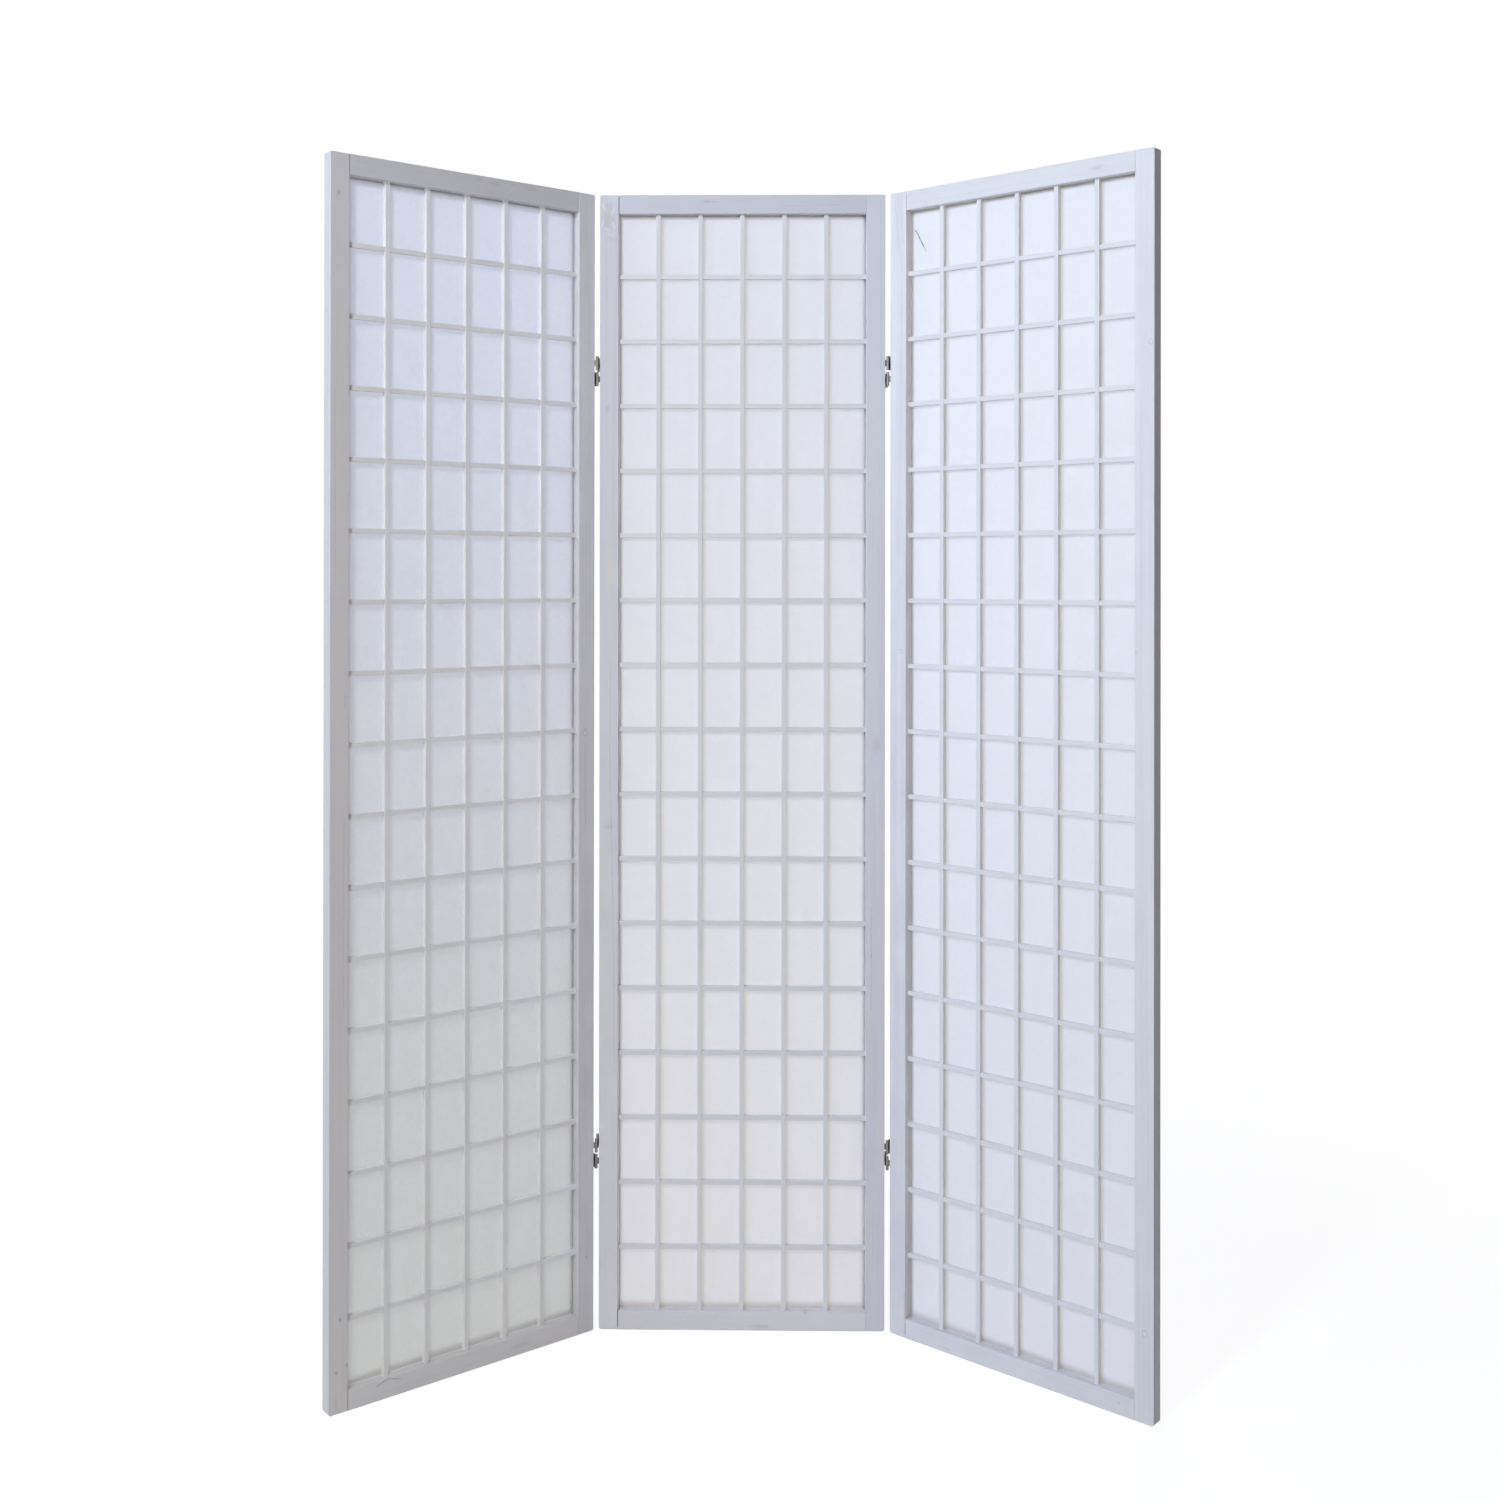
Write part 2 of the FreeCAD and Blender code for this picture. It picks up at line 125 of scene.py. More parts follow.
camera = bpy.data.objects.new("camera", bpy.data.cameras.new("camera"))
scene.collection.objects.link(camera)
camera.data.sensor_width = 36.0
camera.data.lens = FOCAL_SHARE * camera.data.sensor_width
camera.data.shift_x, camera.data.shift_y = -AXIS_SHIFT[0], AXIS_SHIFT[1]
camera.matrix_world = posed(camera_axes(CAMERA_YAW, CAMERA_PITCH, CAMERA_ROLL), CAMERA_PLACE)
scene.camera = camera
print("lens", round(camera.data.lens, 2), "mm")

# %% [markdown]
# ## Light, floor and background
# The screen stands on white ground. A small lamp high at the front left gives the right panel its
# brightness, leaves the left one greyer and draws the short crisp shadows of the frames on the paper. Two
# large soft lamps fill those shadows, a cool one from the far left and a warmer one from the front. The
# white surroundings and a lamp behind shine through the paper. The floor and the sky are plain white to
# the camera, and the floor keeps a faint shadow of the screen.

# %% Helpers for shader nodes
def add(tree, kind, inputs=None, **settings):
    """A new node with its settings, and its inputs set to a value or linked to another node's output."""
    node = tree.nodes.new(kind)
    for key, value in settings.items():
        setattr(node, key, value)
    for key, value in (inputs or {}).items():
        socket = node.inputs[key]
        if isinstance(value, bpy.types.NodeSocket):
            tree.links.new(value, socket)
        else:
            socket.default_value = value
    return node


def maths(tree, operation, *values, clamp=False):
    """The output of a Math node."""
    node = add(tree, "ShaderNodeMath", dict(enumerate(values)), operation=operation, use_clamp=clamp)
    return node.outputs[0]


def remap(tree, value, low, high, to_low=0.0, to_high=1.0):
    """A value taken smoothly from one range to another."""
    inputs = {"Value": value, "From Min": low, "From Max": high, "To Min": to_low, "To Max": to_high}
    return add(tree, "ShaderNodeMapRange", inputs, interpolation_type="SMOOTHSTEP").outputs["Result"]


def mix_colour(tree, share, first, second, blend="MIX"):
    """The output of a Mix node for colours."""
    node = add(tree, "ShaderNodeMix", data_type="RGBA", blend_type=blend)
    for index, value in {0: share, 6: first, 7: second}.items():
        if isinstance(value, bpy.types.NodeSocket):
            tree.links.new(value, node.inputs[index])
        else:
            node.inputs[index].default_value = value
    return node.outputs[2]


def seen_directly(tree, through_paper=True):
    """1 for rays that show the surroundings as they are: to the eye, in a reflection or through the paper."""
    path = add(tree, "ShaderNodeLightPath").outputs
    seen = maths(tree, "MAXIMUM", path["Is Camera Ray"], path["Is Glossy Ray"])
    return maths(tree, "MAXIMUM", seen, path["Is Transmission Ray"]) if through_paper else seen


def material(name):
    """A new empty material, its node tree and its output node."""
    made = bpy.data.materials.new(name)
    made.use_nodes = True
    made.node_tree.nodes.clear()
    return made, made.node_tree, made.node_tree.nodes.new("ShaderNodeOutputMaterial")


# %% Sky
SKY_COLOUR = (0.92, 0.95, 1.0, 1.0)
SKY_STRENGTH = 0.02             # the lamps do nearly all the lighting
world = bpy.data.worlds.new("studio")
scene.world = world
world.use_nodes = True
tree = world.node_tree
tree.nodes.clear()
seen = seen_directly(tree)
lit = add(tree, "ShaderNodeBackground", {"Color": SKY_COLOUR, "Strength": SKY_STRENGTH})
white = add(tree, "ShaderNodeBackground", {"Color": (1, 1, 1, 1), "Strength": 1.0})
shown = add(tree, "ShaderNodeMixShader", {0: seen, 1: lit.outputs[0], 2: white.outputs[0]})
add(tree, "ShaderNodeOutputWorld", {"Surface": shown.outputs[0]})

# %% Floor
FLOOR_HALF = 12.0
FLOOR_COLOUR = (0.80, 0.80, 0.80, 1.0)  # as it lights the screen
NEAR_GLOW = 0.88                # as it is seen near the screen: this much white whatever the light,
NEAR_GREY = 0.25                # and a diffuse part that can take a shadow
PLAIN_FROM, PLAIN_TO = 0.9, 1.9  # distances over which it turns plain white, in metres
floor_mesh = bpy.data.meshes.new("floor")
corners = FLOOR_HALF * np.array([(-1, -1, 0), (1, -1, 0), (1, 1, 0), (-1, 1, 0)])
floor_mesh.from_pydata(corners.tolist(), [], [(0, 1, 2, 3)])
floor = bpy.data.objects.new("floor", floor_mesh)
scene.collection.objects.link(floor)
made, tree, output = material("white_ground")
place = add(tree, "ShaderNodeTexCoord").outputs["Object"]
distance = add(tree, "ShaderNodeVectorMath", {0: place}, operation="LENGTH").outputs["Value"]
seen = seen_directly(tree, through_paper=False)
glow = add(tree, "ShaderNodeEmission", {"Color": (1, 1, 1, 1), "Strength": NEAR_GLOW})
faint = add(tree, "ShaderNodeBsdfDiffuse", {"Color": (NEAR_GREY, NEAR_GREY, NEAR_GREY, 1)})
near = add(tree, "ShaderNodeAddShader", {0: glow.outputs[0], 1: faint.outputs[0]})
plain = add(tree, "ShaderNodeEmission", {"Color": (1, 1, 1, 1), "Strength": 1.0})
far = remap(tree, distance, PLAIN_FROM, PLAIN_TO)
ground = add(tree, "ShaderNodeMixShader", {0: far, 1: near.outputs[0], 2: plain.outputs[0]})
bounce = add(tree, "ShaderNodeBsdfDiffuse", {"Color": FLOOR_COLOUR})
shown = add(tree, "ShaderNodeMixShader", {0: seen, 1: bounce.outputs[0], 2: ground.outputs[0]})
tree.links.new(shown.outputs[0], output.inputs["Surface"])
floor_mesh.materials.append(made)

# %% Lamps
LAMPS = {                       # place, what it points at, width and height, power in watts, colour
    "key": ((-1.06, -2.33, 2.90), (0.0, 0.0, 0.9), (0.30, 0.30), 46.0, (0.82, 0.89, 1.0)),
    "side": ((-3.74, -2.16, 2.47), (0.0, 0.0, 0.9), (1.6, 1.8), 66.0, (0.57, 0.75, 1.0)),
    "front": ((-0.80, -4.53, 1.06), (0.0, 0.0, 0.9), (1.6, 1.4), 45.0, (1.0, 0.85, 0.71)),
    "behind": ((0.0, 2.90, 1.90), (0.0, 0.0, 1.0), (3.0, 1.4), 56.0, (0.76, 0.80, 1.0)),
}


def aim(place, target):
    """Right, up and backward unit vectors of a lamp at a place that shines at a target."""
    back = np.array(place) - np.array(target)
    back = back / np.linalg.norm(back)
    right = np.cross((0.0, 0.0, 1.0), back)
    right = right / np.linalg.norm(right)
    return np.column_stack([right, np.cross(back, right), back])


for name, (place, target, size, power, colour) in LAMPS.items():
    lamp = bpy.data.lights.new(name, "AREA")
    lamp.shape = "RECTANGLE"
    lamp.size, lamp.size_y = size
    lamp.energy, lamp.color = power, colour
    holder = bpy.data.objects.new("lamp_" + name, lamp)
    scene.collection.objects.link(holder)
    holder.matrix_world = posed(aim(place, target), place)
    holder.visible_camera = False
scene.view_settings.view_transform = "Standard"
print("lamps:", ", ".join(LAMPS))

# %% [markdown]
# ## Effects that several finishes share
# Painted softwood shows its growth rings as faint streaks and has a fine brushed surface, and its edges
# get a painted highlight, broken up in places. Knots show through as round marks with a rim, and old
# shakes, the thin cracks along the grain, as fine dark lines. Each of these is one node group with named
# inputs, so that frame, lattice, battens and hinges can use it with their own values. A group gives out
# only masks, and the material decides what colour, roughness or height they stand for.

# %% A node group with named sockets
def new_group(name, inputs, outputs):
    """An empty shader node group: inputs are (name, kind, default), outputs are names of values."""
    made = bpy.data.node_groups.new(name, "ShaderNodeTree")
    for socket, kind, default in inputs:
        item = made.interface.new_socket(socket, in_out="INPUT", socket_type="NodeSocket" + kind)
        if default is not None:
            item.default_value = default
    for socket in outputs:
        made.interface.new_socket(socket, in_out="OUTPUT", socket_type="NodeSocketFloat")
    return made, made.nodes.new("NodeGroupInput").outputs, made.nodes.new("NodeGroupOutput").inputs


def use_group(tree, group, vector, **values):
    """The outputs of a node group at a place, with its other inputs set by name (_ for a space)."""
    node = add(tree, "ShaderNodeGroup", node_tree=group)
    tree.links.new(vector, node.inputs["Vector"])
    for socket, value in values.items():
        node.inputs[socket.replace("_", " ")].default_value = value
    return node.outputs


def vector_maths(tree, operation, *values):
    """The node that works on vectors, for its Vector or its Value output."""
    return add(tree, "ShaderNodeVectorMath", dict(enumerate(values)), operation=operation).outputs


def noise(tree, vector, stretch, seed, detail=3.0, roughness=0.55):
    """A noise of about one bump per 1/stretch metres along each axis."""
    scaled = vector_maths(tree, "MULTIPLY", vector, stretch)["Vector"]
    inputs = {"Vector": scaled, "W": seed, "Scale": 1.0, "Detail": detail, "Roughness": roughness}
    return add(tree, "ShaderNodeTexNoise", inputs, noise_dimensions="4D").outputs["Fac"]


# %% Grain of softwood under paint, running along Z
# Bumps in a metre along each axis: growth rings and fibres are long and narrow, patches nearly round.
RINGS = (260.0, 260.0, 2.2)
FIBRES = (1500.0, 1500.0, 22.0)
PATCHES = (30.0, 30.0, 14.0)
AGEING = (9.0, 9.0, 2.6)
WANDER = (14.0, 14.0, 3.0)
WANDER_WIDTH = 0.012            # how far the grain wanders to the side, in metres
grain, given, out = new_group(
    "grain", [("Vector", "Vector", None), ("Seed", "Float", 0.0)], ["Streaks", "Fibres", "Patches", "Age"]
)
wander = noise(grain, given["Vector"], WANDER, given["Seed"], detail=1.0)
shift = add(grain, "ShaderNodeCombineXYZ", {"X": maths(grain, "MULTIPLY", wander, WANDER_WIDTH)}).outputs[0]
bent = vector_maths(grain, "ADD", given["Vector"], shift)["Vector"]
rings = noise(grain, bent, RINGS, given["Seed"], detail=2.0)
grain.links.new(remap(grain, rings, 0.30, 0.70), out["Streaks"])
fibres = noise(grain, bent, FIBRES, given["Seed"], detail=2.0)
grain.links.new(remap(grain, fibres, 0.25, 0.75), out["Fibres"])
patches = noise(grain, given["Vector"], PATCHES, given["Seed"], detail=4.0)
grain.links.new(remap(grain, patches, 0.30, 0.70), out["Patches"])
age = noise(grain, given["Vector"], AGEING, given["Seed"], detail=2.0)
grain.links.new(remap(grain, age, 0.32, 0.68), out["Age"])

# %% A blot: the ragged oval of a knot or a stain, with a rim
RAGGED = (320.0, 320.0, 200.0)  # bumps in a metre of its outline
blot, given, out = new_group(
    "blot",
    [("Vector", "Vector", None), ("Centre", "Vector", None), ("Half Size", "Vector", (0.004, 1.0, 0.006)),
     ("Lean", "Float", 0.0), ("Raggedness", "Float", 0.5)],
    ["Core", "Rim"],
)
away = vector_maths(blot, "SUBTRACT", given["Vector"], given["Centre"])["Vector"]
turn = {"Vector": away, "Angle": given["Lean"]}
upright = add(blot, "ShaderNodeVectorRotate", turn, rotation_type="Y_AXIS").outputs[0]
span = vector_maths(blot, "DIVIDE", upright, given["Half Size"])["Vector"]
ragged = maths(blot, "SUBTRACT", noise(blot, given["Vector"], RAGGED, 3.0), 0.5)
radius = vector_maths(blot, "LENGTH", span)["Value"]
radius = maths(blot, "ADD", radius, maths(blot, "MULTIPLY", ragged, given["Raggedness"]))
blot.links.new(remap(blot, radius, 0.95, 0.45), out["Core"])
rim = maths(blot, "ABSOLUTE", maths(blot, "SUBTRACT", radius, 1.0))
blot.links.new(remap(blot, rim, 0.40, 0.0), out["Rim"])

# %% A shake or a scratch: a thin broken line between two points
SWING = (40.0, 0.0, 25.0)       # bends in a metre
BREAKS = (120.0, 0.0, 60.0)     # faint places in a metre
shake, given, out = new_group(
    "shake",
    [("Vector", "Vector", None), ("From", "Vector", None), ("To", "Vector", None),
     ("Width", "Float", 0.0008), ("Wobble", "Float", 0.002)],
    ["Line"],
)
swing = add(shake, "ShaderNodeCombineXYZ", {
    "X": maths(shake, "SUBTRACT", noise(shake, given["Vector"], SWING, 1.0), 0.5),
    "Z": maths(shake, "SUBTRACT", noise(shake, given["Vector"], SWING, 9.0), 0.5),
}).outputs[0]
swing = add(shake, "ShaderNodeVectorMath", {0: swing, "Scale": given["Wobble"]}, operation="SCALE").outputs[0]
flat = vector_maths(shake, "MULTIPLY", given["Vector"], (1.0, 0.0, 1.0))["Vector"]
swung = vector_maths(shake, "ADD", flat, swing)["Vector"]
reach = vector_maths(shake, "SUBTRACT", swung, given["From"])["Vector"]
along = vector_maths(shake, "SUBTRACT", given["To"], given["From"])["Vector"]
share = maths(
    shake, "DIVIDE",
    vector_maths(shake, "DOT_PRODUCT", reach, along)["Value"],
    vector_maths(shake, "DOT_PRODUCT", along, along)["Value"],
    clamp=True,
)
nearest = add(shake, "ShaderNodeVectorMath", {0: along, "Scale": share}, operation="SCALE").outputs[0]
gap = vector_maths(shake, "DISTANCE", reach, nearest)["Value"]
line = maths(shake, "DIVIDE", gap, given["Width"])
broken = remap(shake, noise(shake, given["Vector"], BREAKS, 5.0), 0.30, 0.60, 0.35, 1.0)
shake.links.new(maths(shake, "MULTIPLY", remap(shake, line, 1.0, 0.3), broken), out["Line"])

# %% Painted highlight on edges: where a rounded normal would differ from the real one
FLAT, EDGY = 0.995, 0.90        # how alike the two normals are away from an edge and on it
HIGHLIGHT_BREAKS = (90.0, 90.0, 40.0)      # places in a metre where the painted highlight breaks off
edge_light, given, out = new_group("edge_wear", [("Vector", "Vector", None), ("Width", "Float", 0.0015)], ["Edge"])
real = add(edge_light, "ShaderNodeNewGeometry").outputs["Normal"]
bevelled = add(edge_light, "ShaderNodeBevel", {"Radius": given["Width"]}, samples=8).outputs[0]
alike = vector_maths(edge_light, "DOT_PRODUCT", bevelled, real)["Value"]
edge = remap(edge_light, alike, FLAT, EDGY)
broken = noise(edge_light, given["Vector"], HIGHLIGHT_BREAKS, 7.0, detail=4.0)
edge_light.links.new(maths(edge_light, "MULTIPLY", edge, remap(edge_light, broken, 0.35, 0.65)), out["Edge"])
print("groups:", [g.name for g in bpy.data.node_groups])

# %% [markdown]
# ## Painted wood
# The frames are softwood under one thin coat of white paint. Looked at closely, the paint is a touch
# darker along the growth rings, its surface has the fine ridges of the wood, and its edges get a painted
# highlight. Every stile and rail is a slightly different white, warmer or cooler, lighter or darker at one
# end, partly the paint's own and partly painted light and shade along the piece.
# So each of them gets a finish of its own, with its tones at the foot and at the head. A Mapping node moves
# the object's coordinates to the panel's middle and turns them along the panel, so that the pattern
# turns with the panel, and rails and cross bars get a second one that lays the grain across.

# %% A place on a panel
PAINT = (0.736, 0.735, 0.755)
PAINT_DARK = (0.655, 0.652, 0.672)
# Colour of pale patches in the paint and of the painted highlight on the edges.
PAINT_PALE_AND_HIGHLIGHT = (0.815, 0.812, 0.822)
WARM = (0.755, 0.725, 0.705)
COOL = (0.715, 0.735, 0.775)
BARE_FRONT = -stile_high.y      # depth of a frame's front face in its own panel


def panel_vector(tree, panel):
    """Object coordinates from the panel's middle, turned with the panel."""
    middle, turn = PANELS[panel]
    place = add(tree, "ShaderNodeTexCoord").outputs["Object"]
    inputs = {"Vector": place, "Location": (middle[0], middle[1], 0.0), "Rotation": (0.0, 0.0, turn)}
    return add(tree, "ShaderNodeMapping", inputs, vector_type="TEXTURE").outputs[0]


def laid_across(tree, vector):
    """The same place with X and Z exchanged, so that a pattern along Z runs across the panel."""
    inputs = {"Vector": vector, "Rotation": (0.0, math.pi / 2, 0.0)}
    return add(tree, "ShaderNodeMapping", inputs, vector_type="POINT").outputs[0]


def toned(colour, tone):
    """A colour times a tone, with full alpha."""
    return [a * b for a, b in zip(colour, tone)] + [1.0]


# %% Marks in the wood
# Kind of mark: colour of its core, share of it, colour of its rim, share of it, raggedness.
BLOTS = {
    "dark knot": ((0.34, 0.34, 0.38), 0.60, (0.58, 0.57, 0.60), 0.40, 0.6),
    "soft knot": ((0.40, 0.40, 0.44), 0.50, (0.58, 0.57, 0.60), 0.40, 0.7),
    "beige": ((0.60, 0.56, 0.55), 0.42, (0.66, 0.63, 0.63), 0.25, 1.6),
    "fleck": ((0.84, 0.87, 0.91), 0.38, (0.60, 0.60, 0.64), 0.22, 2.4),
    "pale knot": ((0.80, 0.80, 0.81), 0.50, (0.46, 0.45, 0.47), 0.55, 0.3),
    "faint knot": ((0.52, 0.51, 0.53), 0.45, (0.64, 0.63, 0.65), 0.35, 0.6),
    "stain": ((0.50, 0.49, 0.51), 0.38, (0.64, 0.63, 0.65), 0.25, 1.4),
    "golden": ((0.74, 0.69, 0.58), 0.50, (0.74, 0.71, 0.66), 0.20, 1.6),
}
SHAKE_COLOUR = (0.42, 0.41, 0.43, 1.0)

# Marks of each stile and rail, in millimetres across and up its panel: blots are (kind, x, z, half width,
# half height, lean in degrees), and shakes are (x, z, x, z, width, share).
MARKS = {
    "left_stile_left": (
        [("soft knot", -207.4, 1693, 3.6, 4.4, 20), ("stain", -209.5, 1686, 2.0, 6.0, 25),
         ("faint knot", -192.4, 1273, 2.4, 3.4, 0), ("faint knot", -195.5, 993, 2.4, 3.4, 0),
         ("stain", -196.5, 984, 1.4, 7.0, 10), ("dark knot", -202.8, 130, 2.6, 3.2, 0),
         ("dark knot", -208.3, 58, 2.4, 3.0, 0), ("dark knot", -192.0, 64, 2.6, 4.2, 0),
         ("stain", -209.0, 15, 2.2, 10.0, 0)],
        [(-213, 1420, -211, 1150, 1.2, 0.35), (-198, 820, -199, 560, 1.2, 0.30)],
    ),
    "left_stile_right": (
        [("pale knot", 202.7, 921, 3.2, 4.4, 0), ("pale knot", 195.5, 345, 2.0, 3.0, 0),
         ("dark knot", 206.8, 116, 1.4, 3.0, 10)],
        [(203, 905, 204, 780, 1.2, 0.35)],
    ),
    "centre_stile_left": (
        [("stain", -206, 1716, 15.0, 30.0, 0), ("beige", -208, 1715, 6.5, 14.0, 8),
         ("fleck", -214, 1731, 2.6, 9.0, 20), ("fleck", -200, 1724, 2.4, 10.0, -18),
         ("fleck", -216, 1706, 2.4, 9.0, -8), ("fleck", -199, 1703, 3.0, 8.0, 25),
         ("fleck", -209, 1697, 3.0, 6.0, 50), ("fleck", -204, 1688, 9.0, 2.0, -22),
         ("stain", -203, 1683, 9.0, 3.0, -20), ("faint knot", -208, 1420, 4.0, 8.0, 0),
         ("golden", -205, 1172, 9.0, 36.0, 0), ("faint knot", -205, 775, 9.0, 5.0, 0)],
        [(-202.8, 1028, -203.7, 874, 1.2, 0.30), (-203.7, 874, -201.5, 778, 1.0, 0.42),
         (-201.5, 778, -198.7, 653, 1.0, 0.36), (-198.7, 653, -195.8, 397, 1.0, 0.28)],
    ),
    "centre_stile_right": (
        [("dark knot", 199.5, 578, 0.9, 4.5, 0), ("stain", 207, 902, 6.0, 14.0, 0)],
        [(213.6, 1740, 213.6, 1480, 0.8, 0.30), (199.5, 653, 199.5, 494, 0.8, 0.60)],
    ),
    "right_stile_left": (
        [("pale knot", -198.7, 1047, 2.6, 3.2, 0), ("golden", -198.5, 1020, 2.0, 20.0, 0)],
        [(-212, 1740, -200, 1640, 0.9, 0.30), (-206, 1745, -195, 1670, 0.9, 0.25),
         (-192.5, 70, -192.0, 6, 1.4, 0.45)],
    ),
    "right_stile_right": (
        [("pale knot", 215.0, 1484, 2.6, 3.6, 0), ("faint knot", 192.7, 1057, 2.4, 3.4, 0),
         ("pale knot", 206.4, 124, 3.4, 4.4, 0)],
        [(199, 1380, 201, 1130, 0.9, 0.25)],
    ),
    "left_rail_top": (
        [("stain", 15, 1744, 9.0, 3.5, 0), ("stain", 42, 1742, 12.0, 4.0, 5),
         ("stain", 74, 1745, 9.0, 3.0, 0), ("stain", 104, 1743, 12.0, 3.5, 0)],
        [],
    ),
    "left_rail_bottom": (
        [("stain", 90, 14, 16.0, 4.0, 0)],
        [(-147, 21.5, -128.5, 27, 1.6, 0.70), (-128.5, 27, -110, 21.5, 1.6, 0.70)],
    ),
    "centre_rail_top": (
        [("stain", -53, 1739.8, 17.0, 2.2, 0), ("dark knot", -54, 1739.8, 6.5, 1.2, 0)],
        [(60, 1733, 150, 1734.5, 0.9, 0.30)],
    ),
    "centre_rail_bottom": (
        [("stain", 30, 6.5, 17.0, 4.5, 0), ("faint knot", 98, 28, 3.0, 1.6, 0)],
        [(-128, 27.6, -85, 27.6, 0.9, 0.28)],
    ),
    "right_rail_top": ([("stain", 134, 1735, 10.0, 3.5, 0)], []),
    "right_rail_bottom": (
        [("dark knot", 167.3, 17.2, 1.6, 1.6, 0), ("stain", -120, 7, 16.0, 2.0, 0)],
        [],
    ),
    "right_cross_bars": ([("faint knot", -93.0, 1360.5, 2.6, 1.8, 0)], []),
    "centre_cross_bars": ([("dark knot", 112.5, 944.0, 1.3, 1.3, 0)], []),
}

# Tone of each piece at its foot or left end, and at its head or right end: partly the paint's own, partly
# painted light and shade along the piece.
PIECE_TONES_AND_SHADE = {
    "left_stile_left": ((1.01, 0.98, 0.92), (0.90, 0.88, 0.88)),
    "left_stile_right": ((0.89, 0.88, 0.88), (1.04, 1.03, 1.04)),
    "left_rail_top": ((0.87, 0.86, 0.87), (0.90, 0.89, 0.91)),
    "left_rail_bottom": ((1.00, 0.98, 0.94), (0.96, 0.95, 0.94)),
    "centre_stile_left": ((1.12, 1.13, 1.13), (0.78, 0.79, 0.85)),
    "centre_stile_right": ((0.93, 0.93, 0.98), (0.91, 0.92, 0.96)),
    "centre_rail_top": ((0.84, 0.84, 0.88), (0.83, 0.84, 0.88)),
    "centre_rail_bottom": ((1.04, 1.03, 1.04), (0.98, 0.98, 1.00)),
    "right_stile_left": ((0.93, 0.92, 0.95), (1.10, 1.09, 1.10)),
    "right_stile_right": ((1.00, 1.01, 1.03), (1.04, 1.04, 1.04)),
    "right_rail_top": ((1.04, 1.03, 1.03), (1.02, 1.02, 1.02)),
    "right_rail_bottom": ((0.97, 0.97, 0.99), (1.00, 1.01, 1.03)),
}
# Tones of each panel's bars at the foot and the head, with painted light and shade in them too.
LATTICE_TONES_AND_SHADE = {
    "left": ((1.10, 1.09, 1.03), (1.16, 1.17, 1.17)),
    "centre": ((1.10, 1.10, 1.09), (0.92, 0.92, 0.92)),
    "right": ((1.03, 1.03, 1.04), (1.03, 1.03, 1.03)),
}


# %% Painted wood, one finish per piece
GRAIN_SHOWS = {"Age": 0.22, "Streaks": 0.5, "Patches": 0.32, "Fibres": 0.16}  # share of each effect
PAINT_SHINE = (0.46, 0.60)      # roughness between the fibres and on them
NO_MARKS = ((), ())


def add_marks(tree, vector, colour, height, blots, shakes):
    """Blots and shakes laid over a colour and a height."""
    for kind, x, z, half_width, half_height, lean in blots:
        core, core_share, rim, rim_share, raggedness = BLOTS[kind]
        spot = use_group(
            tree, blot, vector, Centre=(x / 1000, BARE_FRONT, z / 1000), Lean=math.radians(lean),
            Half_Size=(half_width / 1000, 1.0, half_height / 1000), Raggedness=raggedness,
        )
        colour = mix_colour(tree, maths(tree, "MULTIPLY", spot["Rim"], rim_share), colour, (*rim, 1.0))
        colour = mix_colour(tree, maths(tree, "MULTIPLY", spot["Core"], core_share), colour, (*core, 1.0))
        height = maths(tree, "MULTIPLY_ADD", spot["Rim"], 0.5, height)
    for x, z, end_x, end_z, width, share in shakes:
        line = use_group(
            tree, shake, vector, Width=width / 1000,
            From=(x / 1000, 0.0, z / 1000), To=(end_x / 1000, 0.0, end_z / 1000),
        )
        colour = mix_colour(tree, maths(tree, "MULTIPLY", line["Line"], share), colour, SHAKE_COLOUR)
        height = maths(tree, "MULTIPLY_ADD", line["Line"], -1.0, height)
    return colour, height


